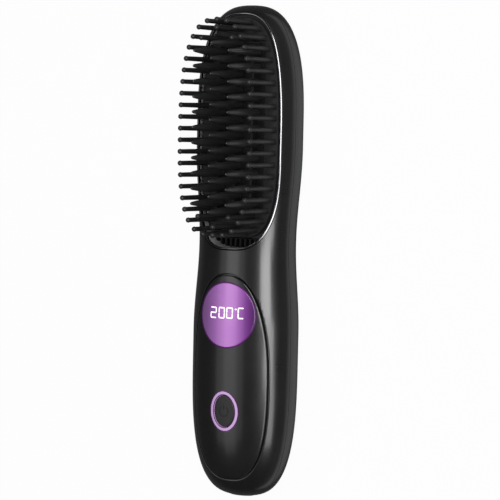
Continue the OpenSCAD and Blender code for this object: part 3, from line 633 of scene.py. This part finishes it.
carrier = loft("carrier_floor", [pocket_level(carrier_in, shelf_z), pocket_level(carrier_in, floor_z - gutter),
                                 stand_level(1.75 * mm, floor_z - gutter),
                                 stand_level(1.6 * mm, floor_z - 0.25 * mm),
                                 stand_level(1.5 * mm, floor_z - 0.06 * mm), stand_level(1.3 * mm, floor_z)])
under = loft("carrier_hollow", [pocket_level(carrier_in + skirt_t, shelf_z - mm),
                                pocket_level(carrier_in + skirt_t, carrier_low_z)])
carrier_posts = [(x * 17.7 * mm, y * mm) for x in (-1, 1) for y in (29, 74)]
for i, (x, y) in enumerate(carrier_posts):
    cut(under, post(f"carrier_post_{i}", x, y, 2.3 * mm, shelf_z - 2 * mm, floor_z))
cut(carrier, under)
for name, width, length in (("field_window", field_w, field_l), ("tongue_window", tongue_w, tongue_l)):
    cut(carrier, rounded_block(name, width + comb_room, length + comb_room, comb_y, shelf_z - mm, floor_z + mm,
                               0.8 * mm))
cut(carrier, slab("outlet_notch", (-11.6 * mm, -2 * mm, shelf_z - mm), (11.6 * mm, 6.2 * mm, floor_z + mm)))
for i, (x, y) in enumerate(carrier_posts):
    cut(carrier, post(f"carrier_bore_{i}", x, y, mm, shelf_z - mm, carrier_low_z + mm, 16))
smooth(carrier)
carrier_black = moulded("carrier_black", (0.02, 0.02, 0.0215), 0.45, grain=1500, depth=0.004, ior=1.36)
dress(carrier, carrier_black, replaced=["bristle_carrier"])

bristle_r, bristle_foot_r, ball_r, bristle_sides = 0.96 * mm, 1.14 * mm, 1.14 * mm, 12
ball_z = mid_z + 27.7 * mm - ball_r
profile = [(1.5 * mm, floor_z - 0.2 * mm), (1.22 * mm, floor_z + 0.12 * mm),
           (bristle_foot_r, floor_z + 0.5 * mm), (bristle_r, ball_z - 0.6 * mm)]
for tilt in (-8, 20, 46, 68, 84):
    profile.append((ball_r * math.cos(math.radians(tilt)), ball_z + ball_r * math.sin(math.radians(tilt))))
stem = []
for radius, z in profile:
    turns = [2 * math.pi * i / bristle_sides for i in range(bristle_sides)]
    stem.append([(radius * math.cos(a), radius * math.sin(a), z) for a in turns])
bristle = loft("bristle", stem)
smooth(bristle, 50)

ring_bristles, trail_steps = 44, 720
trail = [oval_point(ring_w / 2, ring_l / 2, ring_fullness, math.pi / 2 + 2 * math.pi * i / trail_steps)
         for i in range(trail_steps + 1)]
run = [0]
for start, end in zip(trail, trail[1:]):
    run.append(run[-1] + math.dist(start, end))
stands = []
for i in range(ring_bristles):
    way = run[-1] * i / ring_bristles
    step = max(1, next(k for k, length in enumerate(run) if length >= way - 1e-9))
    part = (way - run[step - 1]) / (run[step] - run[step - 1])
    start, end = trail[step - 1], trail[step]
    stands.append((start[0] + (end[0] - start[0]) * part, comb_y + start[1] + (end[1] - start[1]) * part))
corner_x, corner_y, end_pin_y = 7.7 * mm, 37.4 * mm, 41.6 * mm
for end in (-1, 1):
    stands += [(-corner_x, comb_y + end * corner_y), (corner_x, comb_y + end * corner_y),
               (0, comb_y + end * end_pin_y)]
for i, (x, y) in enumerate(stands):
    stamp(bristle, f"bristle_{i:02d}", x, y, nylon_black, "bristle_carrier")
bpy.data.objects.remove(bristle)

# Ion outlet: a slotted nylon piece in the foot of the pocket, in front of the ion generator's needles.
slot_count, slot_w, slot_l, slot_pitch = 9, 1.5 * mm, 3.7 * mm, 2.45 * mm
grille_w, grille_l, grille_y, slot_y = 22.8 * mm, 4.8 * mm, 3.6 * mm, 3.95 * mm
grille = loft("outlet", [pocket_level(carrier_in, shelf_z), pocket_level(carrier_in, floor_z - 0.2 * mm),
                         pocket_level(carrier_in + 0.2 * mm, floor_z)])
cut(grille, centred("outlet_block", grille_w, grille_l, grille_y, shelf_z - mm, floor_z + mm), "INTERSECT")
for i in range(slot_count):
    slot = rounded_block(f"slot_{i}", slot_w, slot_l, slot_y, shelf_z - mm, floor_z + mm, 0.4 * mm, 3)
    slot.location = ((i - (slot_count - 1) / 2) * slot_pitch, 0, 0)
    settle(slot)
    cut(grille, slot)
smooth(grille)
outlet_black = moulded("outlet_black", (0.006, 0.006, 0.0065), 0.5, grain=1500, depth=0.004, ior=1.32)
dress(grille, outlet_black, replaced=["ion_grille"])

# Heating comb: an aluminium casting with a black ceramic coating. Its plate fills the carrier's window from
# below, and three rows of leaf-shaped teeth stand on it, joined by low webs, the middle row out of step.
comb_top_z, flange_z = floor_z + 0.02 * mm, carrier_low_z - 0.1 * mm
tip_z, tooth_depth = mid_z + 30.8 * mm, 13.6 * mm
web_z = tip_z - tooth_depth - 5.5 * mm
comb_pitch, row_gap, web_t, comb_corner = 6.4 * mm, 8.7 * mm, mm, 0.5 * mm
comb_rows = (("left", -row_gap, 11), ("middle", 0, 12), ("right", row_gap, 11))
coated_aluminium = moulded("coated_aluminium", (0.031, 0.031, 0.033), 0.34, grain=1800, depth=0.004, coat=1,
                           coat_roughness=0.22)
plate = rounded_block("comb_plate", field_w, field_l, comb_y, shelf_z, comb_top_z, comb_corner)
tongue = rounded_block("comb_tongue", tongue_w, tongue_l, comb_y, shelf_z, comb_top_z, comb_corner)
flange = rounded_block("comb_flange", field_w + 1.6 * mm, field_l + 0.6 * mm, comb_y, shelf_z, flange_z,
                       comb_corner)
cut(plate, tongue, "UNION")
cut(plate, flange, "UNION")
for side, x, teeth in comb_rows:
    half_web = comb_pitch * teeth / 2
    cut(plate, slab(f"web_{side}", (x - web_t / 2, comb_y - half_web, comb_top_z - 0.5 * mm),
                    (x + web_t / 2, comb_y + half_web, web_z)), "UNION")
smooth(plate)
coated_plate = moulded("coated_plate", (0.014, 0.014, 0.015), 0.42, grain=1800, depth=0.004, ior=1.3)
dress(plate, coated_plate, replaced=["heating_comb"])

# A tooth's share of depth below its tip, half width along the brush and half thickness, in millimetres
leaf_steps = [(1.7, 1.8, 1.4), (1, 1.8, 1.4), (0.78, 1.7, 1.38), (0.55, 1.48, 1.28), (0.34, 1.18, 1.1),
              (0.17, 0.9, 0.86), (0.06, 0.68, 0.62), (0.02, 0.46, 0.4), (0.003, 0.2, 0.16)]
tooth_sides = 14
leaf = []
for share, half_w, half_t in leaf_steps:
    turns = [2 * math.pi * i / tooth_sides for i in range(tooth_sides)]
    leaf.append([(half_t * mm * math.cos(a), half_w * mm * math.sin(a), tip_z - share * tooth_depth)
                 for a in turns])
tooth = loft("tooth", leaf)
smooth(tooth, 60)
for side, x, teeth in comb_rows:
    for i in range(teeth):
        y = comb_y + (i - (teeth - 1) / 2) * comb_pitch
        stamp(tooth, f"tooth_{side}_{i:02d}", x, y, coated_aluminium, "heating_comb")
bpy.data.objects.remove(tooth)

# Display window: a round purple lens glued into the cover, with the temperature in seven-segment digits that
# glow.
# Its colour is painted lighter in the middle and darker towards both sides, a painted highlight of the broad
# lamp, and it glows a little as the lit display behind it.


def across(finish, stops, half, strength):
    """Colours a finish from left to right and lets the same colours glow a little."""
    nodes, links = finish.node_tree.nodes, finish.node_tree.links
    shader = nodes["Principled BSDF"]
    place = nodes.new("ShaderNodeTexCoord")
    split = nodes.new("ShaderNodeSeparateXYZ")
    reach = nodes.new("ShaderNodeMapRange")
    reach.inputs["From Min"].default_value, reach.inputs["From Max"].default_value = -half, half
    tint = nodes.new("ShaderNodeValToRGB")
    tint.color_ramp.interpolation = "B_SPLINE"
    while len(tint.color_ramp.elements) < len(stops):
        tint.color_ramp.elements.new(0.5)
    for element, (position, colour) in zip(tint.color_ramp.elements, stops):
        element.position = position
        element.color = list(colour) + [1]
    links.new(place.outputs["Object"], split.inputs[0])
    links.new(split.outputs["X"], reach.inputs["Value"])
    links.new(reach.outputs["Result"], tint.inputs["Fac"])
    links.new(tint.outputs["Color"], shader.inputs["Base Color"])
    links.new(tint.outputs["Color"], shader.inputs["Emission Color"])
    shader.inputs["Emission Strength"].default_value = strength


def shine(finish, colour, strength):
    """Lets a finish give a little light of its own."""
    shader = finish.node_tree.nodes["Principled BSDF"]
    shader.inputs["Emission Color"].default_value = list(colour) + [1]
    shader.inputs["Emission Strength"].default_value = strength


purple_window = moulded("purple_window", (0.42, 0.13, 0.55), 0.25, grain=900, depth=0.0, spread=0.03, coat=1)
# Painted highlight: the lens's purple is lighter in the middle and darker towards both sides, from left to
# right
purples_painted_highlight = [(0.0, (0.17, 0.08, 0.21)), (0.16, (0.19, 0.08, 0.25)), (0.42, (0.44, 0.17, 0.54)),
           (0.6, (0.54, 0.2, 0.64)), (0.8, (0.24, 0.055, 0.33)), (1.0, (0.035, 0.004, 0.06))]
across(purple_window, purples_painted_highlight, display_r, 0.3)
lens_gap, lens_round, lens_t, bezel_w = 0.05 * mm, 0.3 * mm, 0.8 * mm, 0.4 * mm


def lens_ring(inset, depth, shrink=1):
    return skin_ring(display_r, display_r, ellipse, display_y, inset, depth, shrink, window_points)


panes = [lens_ring(lens_gap, 0, i / 16) for i in range(1, 16)]
panes += [lens_ring(lens_gap + back, down) for back, down in quarter_round(lens_round, 5)]
panes += [lens_ring(lens_gap, lens_t)] + [lens_ring(lens_gap, lens_t, i / 6) for i in (5, 4, 3, 2, 1)]
lens = loft("window_lens", panes)
smooth(lens)
dress(lens, purple_window, replaced=["display_window"])
bezel_purple = moulded("bezel_purple", (0.06, 0.01, 0.085), 0.4, grain=900, depth=0, spread=0.03, ior=1.3)
shine(bezel_purple, (0.12, 0.02, 0.17), 0.3)
bezel = loft("window_bezel", [lens_ring(-bezel_w, 0.7 * mm), lens_ring(-bezel_w, 0.1 * mm),
                              lens_ring(-bezel_w + 0.06 * mm, 0.03 * mm), lens_ring(0.02 * mm, 0.03 * mm),
                              lens_ring(0.04 * mm, 0.7 * mm)], closed_loop=True)
smooth(bezel)
dress(bezel, bezel_purple, replaced=["display_window"])

digit_glow = moulded("digit_glow", (0.85, 0.8, 0.9), 0.3, grain=1200, depth=0, spread=0.02)
shine(digit_glow, (1, 0.86, 1), 0.9)


def glow_bar(x0, y0, x1, y1, thick=0.56):
    """A straight bar of a digit with tapered ends, laid on the window; its lengths are in millimetres."""
    length = max(0.01, math.hypot(x1 - x0, y1 - y0))
    along = ((x1 - x0) / length, (y1 - y0) / length)
    last = length / thick
    steps = [(-0.5, 0.25), (-0.3, 0.42), (0, 0.5)] + [(i / 6 * length / thick, 0.5) for i in range(1, 6)]
    steps += [(last, 0.5), (last + 0.3, 0.42), (last + 0.5, 0.25)]
    rings = []
    for reach, half in steps:
        middle = (x0 + along[0] * reach * thick, y0 + along[1] * reach * thick)
        ring = []
        for side, sunk in ((-half, 0.2), (half, 0.2), (half, -0.02), (-half, -0.02)):
            x = (middle[0] - along[1] * side * thick) * mm
            y = display_y + (middle[1] + along[0] * side * thick) * mm
            ring.append((x, y, skin_height(x, y) - sunk * mm))
        rings.append(ring)
    return loft("bar", rings)


# The bars of a digit from end to end, in widths and half heights of it, and the bars each digit lights
segments = {"a": (0, 2, 1, 2), "b": (1, 1, 1, 2), "c": (1, 0, 1, 1), "d": (0, 0, 1, 0), "e": (0, 0, 0, 1),
            "f": (0, 1, 0, 2), "g": (0, 1, 1, 1)}
lit = {"2": "abged", "0": "abcdef", "C": "adef"}
# Each digit's lower left corner from the middle of the window, and its width, in millimetres
reading = (("2", -7.85, -1.35, 2.95), ("0", -3.3, -1.22, 2.75), ("0", 0.7, -1.1, 2.75), ("C", 6.2, -0.97, 2.3))
half_height, upright_gap, level_gap = 2.15, 0.36, 0.26
bars = []
for digit, x, y, width in reading:
    for name in lit[digit]:
        x0, y0, x1, y1 = segments[name]
        gap, trim = (upright_gap, 0) if x0 == x1 else (0, level_gap)
        bars.append(glow_bar(x + x0 * width + trim, y + y0 * half_height + gap,
                             x + x1 * width - trim, y + y1 * half_height - gap))
bars.append(glow_bar(4.95, 2.75, 5.05, 2.75, 0.66))
bpy.ops.object.select_all(action="DESELECT")
for bar in bars:
    bar.select_set(True)
bpy.context.view_layer.objects.active = bars[0]
bpy.ops.object.join()
digits = bpy.context.object
digits.name = "digits"
dress(digits, digit_glow)

# Light ring: a lilac light guide round the power button, lit from the board below and held under the cover
# by its flange. Both edges of its band are printed dark.
light_half_w, light_half_l, light_band = light_w / 2, light_l / 2, 1.75 * mm
flange_out, flange_t, ring_gap, ring_round = 0.8 * mm, 0.6 * mm, 0.04 * mm, 0.25 * mm
light_low_z = skin_height(light_half_w + flange_out, button_y) - 2.1 * mm


def button_ring(inset, depth, shrink=1):
    return skin_ring(light_half_w, light_half_l, ellipse, button_y, inset, depth, shrink, button_points)


def button_level(inset, z):
    return level_ring(light_half_w, light_half_l, ellipse, button_y, inset, z, button_points)


light_ring = moulded("light_ring", (0.6, 0.42, 0.68), 0.3, grain=1200, depth=0.001, spread=0.04, coat=0.5)
shine(light_ring, (0.6, 0.3, 0.72), 0.24)
guide_rings = [button_level(-flange_out, light_low_z), button_level(-flange_out, light_low_z + flange_t),
               button_level(ring_gap, light_low_z + flange_t)]
guide_edge = quarter_round(ring_round, 5)
guide_rings += [button_ring(ring_gap + back, down) for back, down in reversed(guide_edge)]
guide_rings += [button_ring(light_band - back, down) for back, down in guide_edge]
guide_rings.append(button_level(light_band, light_low_z))
guide = loft("light_guide", guide_rings, closed_loop=True)
smooth(guide, 40)
dress(guide, light_ring, replaced=["button_light_ring"])
edging_w = 0.32 * mm
for name, outer in (("ring_edge_outer", 0.02 * mm), ("ring_edge_inner", 1.42 * mm)):
    inner = outer + edging_w
    edging = loft(name, [button_ring(outer, 0.2 * mm), button_ring(outer, 0.03 * mm),
                         button_ring(outer + 0.05 * mm, -0.02 * mm), button_ring(inner - 0.05 * mm, -0.02 * mm),
                         button_ring(inner, 0.03 * mm), button_ring(inner, 0.2 * mm)], closed_loop=True)
    smooth(edging, 60)
    dress(edging, bezel_purple, replaced=["button_light_ring"])

# Power button: a dark grey cap with a retaining flange, hollow over the switch, with a printed power symbol.
cap_inset, cap_flange_t = light_band + 0.3 * mm, 0.7 * mm
cap_flange_z, cap_sunk, cap_round = light_low_z - mm, 0.15 * mm, 0.35 * mm
button_grey = moulded("button_grey", (0.03, 0.03, 0.031), 0.42, grain=1600, depth=0.004, spread=0.04)
cap_rings = [button_level(cap_inset - flange_out, cap_flange_z),
             button_level(cap_inset - flange_out, cap_flange_z + cap_flange_t),
             button_level(cap_inset, cap_flange_z + cap_flange_t)]
cap_rings += [button_ring(cap_inset + back, cap_sunk + down)
              for back, down in reversed(quarter_round(cap_round, 5))]
cap_rings += [button_ring(cap_inset + cap_round, cap_sunk, i / 12) for i in range(11, 0, -1)]
cap = loft("button_cap", cap_rings)
room_w = 6.8 * mm
cut(cap, centred("switch_room", room_w, room_w, button_y, cap_flange_z - mm, light_low_z + 0.4 * mm))
smooth(cap, 40)
dress(cap, button_grey, "button", replaced=["power_button"])

ink = moulded("symbol_ink", (0.012, 0.012, 0.0125), 0.5, grain=1600, depth=0.002)
symbol_r, stroke, opening, print_z, ink_foot = 2.2 * mm, 0.5 * mm, 0.62, 0.14 * mm, 0.3 * mm
arc_rings = []
for i in range(33):
    a = math.pi / 2 + opening + (2 * math.pi - 2 * opening) * i / 32
    corners = []
    for radius, depth in ((symbol_r - stroke / 2, ink_foot), (symbol_r + stroke / 2, ink_foot),
                          (symbol_r + stroke / 2, print_z), (symbol_r - stroke / 2, print_z)):
        x, y = radius * math.cos(a), button_y + radius * math.sin(a)
        corners.append((x, y, skin_height(x, y) - depth))
    arc_rings.append(corners)
dress(loft("symbol_arc", arc_rings), ink, "button")
dash_rings = []
for i in range(7):
    y = button_y + (0.6 + 2.2 * i / 6) * mm
    corners = ((-stroke / 2, ink_foot), (stroke / 2, ink_foot), (stroke / 2, print_z), (-stroke / 2, print_z))
    dash_rings.append([(x, y, skin_height(x, y) - depth) for x, depth in corners])
dress(loft("symbol_dash", dash_rings), ink, "button")

# Parts inside the housing: the heater stack, sensors, ion generator, boards, cells, switch, socket, wires and
# screws keep their plain shapes and get the finishes of the real ones.


def finish_nodes(finish, *names):
    """Gives pieces that keep their plain shape a finish."""
    for name in names:
        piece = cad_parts[name]
        piece.data.materials.clear()
        piece.data.materials.append(finish)


finish_nodes(moulded("ceramic", (0.82, 0.79, 0.72), 0.6, grain=1100, depth=0.01), "ceramic_heater")
spring_steel = moulded("spring_steel", (0.6, 0.61, 0.63), 0.22, grain=1300, depth=0.002, metal=1,
                       streak=(1, 0.1, 1))
finish_nodes(spring_steel, "heater_spring", "ion_needles")
finish_nodes(moulded("mica", (0.62, 0.52, 0.3), 0.45, grain=700, depth=0.01, spread=0.12), "mica_sheet")
finish_nodes(moulded("heatproof_plastic", (0.05, 0.05, 0.055), 0.5, grain=1500, depth=0.008), "heater_tray")
finish_nodes(moulded("glass_bead", (0.7, 0.45, 0.15), 0.12, grain=800, depth=0.001, coat=1), "thermistor")
finish_nodes(moulded("tinned_metal", (0.6, 0.61, 0.62), 0.3, grain=1600, depth=0.003, metal=1),
             "thermal_fuse", "tact_switch")
finish_nodes(moulded("module_plastic", (0.03, 0.03, 0.033), 0.55, grain=1400, depth=0.008),
             "ion_generator", "switch_plunger", "battery_cradle")
finish_nodes(moulded("display_white", (0.85, 0.84, 0.9), 0.35, grain=1300, depth=0.002),
             "display_module", "ring_leds")
finish_nodes(moulded("circuit_board", (0.02, 0.16, 0.06), 0.35, grain=1900, depth=0.004, coat=0.6),
             "control_board", "charge_board")
finish_nodes(moulded("cell_wrap", (0.08, 0.3, 0.16), 0.25, grain=600, depth=0.006, coat=0.5), "battery_cells")
finish_nodes(moulded("nickel", (0.66, 0.66, 0.64), 0.18, grain=2000, depth=0.001, metal=1),
             "battery_tabs", "usb_socket")
finish_nodes(moulded("red_wire", (0.45, 0.02, 0.02), 0.4, grain=900, depth=0.003), "battery_leads")
finish_nodes(moulded("glass_sleeve_wire", (0.7, 0.68, 0.6), 0.75, grain=2600, depth=0.02), "heater_leads")
finish_nodes(moulded("screw_steel", (0.45, 0.46, 0.48), 0.28, grain=1500, depth=0.002, metal=1),
             "housing_screws", "carrier_screws", "board_screws")

bpy.context.view_layer.update()
